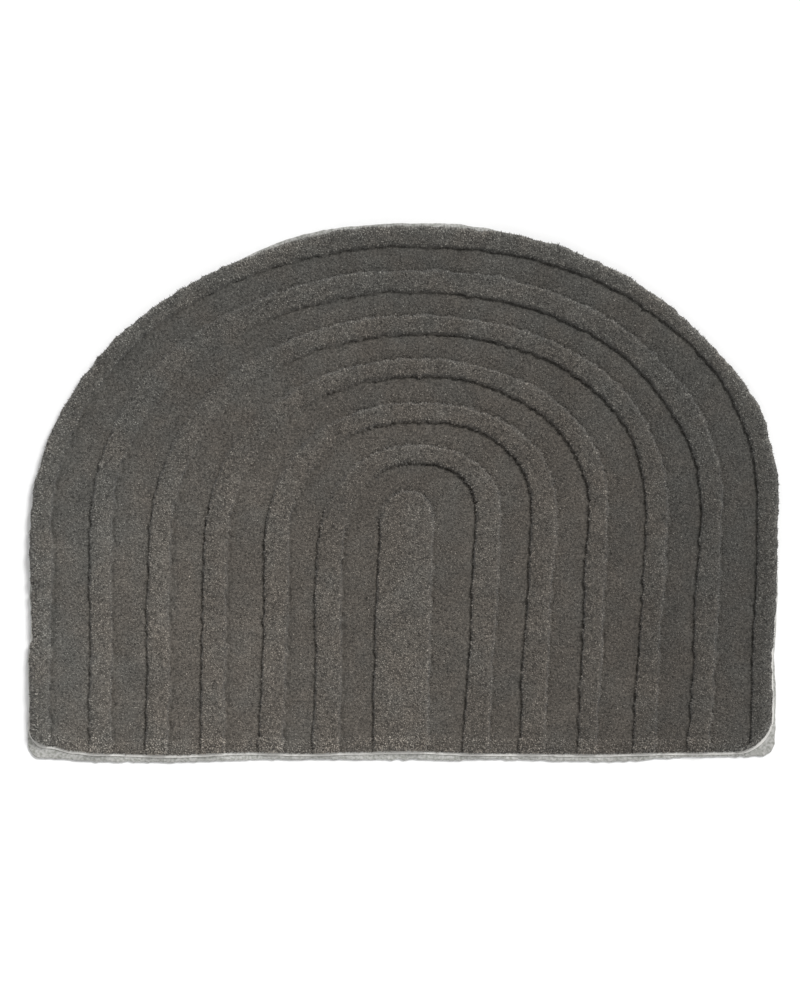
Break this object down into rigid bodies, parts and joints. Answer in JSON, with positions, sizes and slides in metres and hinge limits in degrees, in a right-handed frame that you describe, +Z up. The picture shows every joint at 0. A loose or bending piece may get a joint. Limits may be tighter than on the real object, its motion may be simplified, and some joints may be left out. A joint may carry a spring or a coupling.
{
  "type": "doormat",
  "caption": "Arched doormat in hand-tufted grey wool, with a straight front edge, nested carved arches and a round-topped tongue.",
  "frame": {"origin": "centre of the mat's footprint box, on the floor", "axes": "+X to the right along the straight front edge, +Y towards the arch, +Z up"},
  "size_m": [0.702, 0.5166, 0.0179],
  "materials": {
    "wool_pile": "matt short cut wool pile, dark warm grey",
    "canvas": "fine plain-woven cotton canvas, pale grey",
    "felt": "speckled needled felt, pale grey"
  },
  "bodies": {
    "root": {"pile": "wool_pile", "canvas_edge": "canvas", "felt_backing": "felt"}
  },
  "joints": []
}
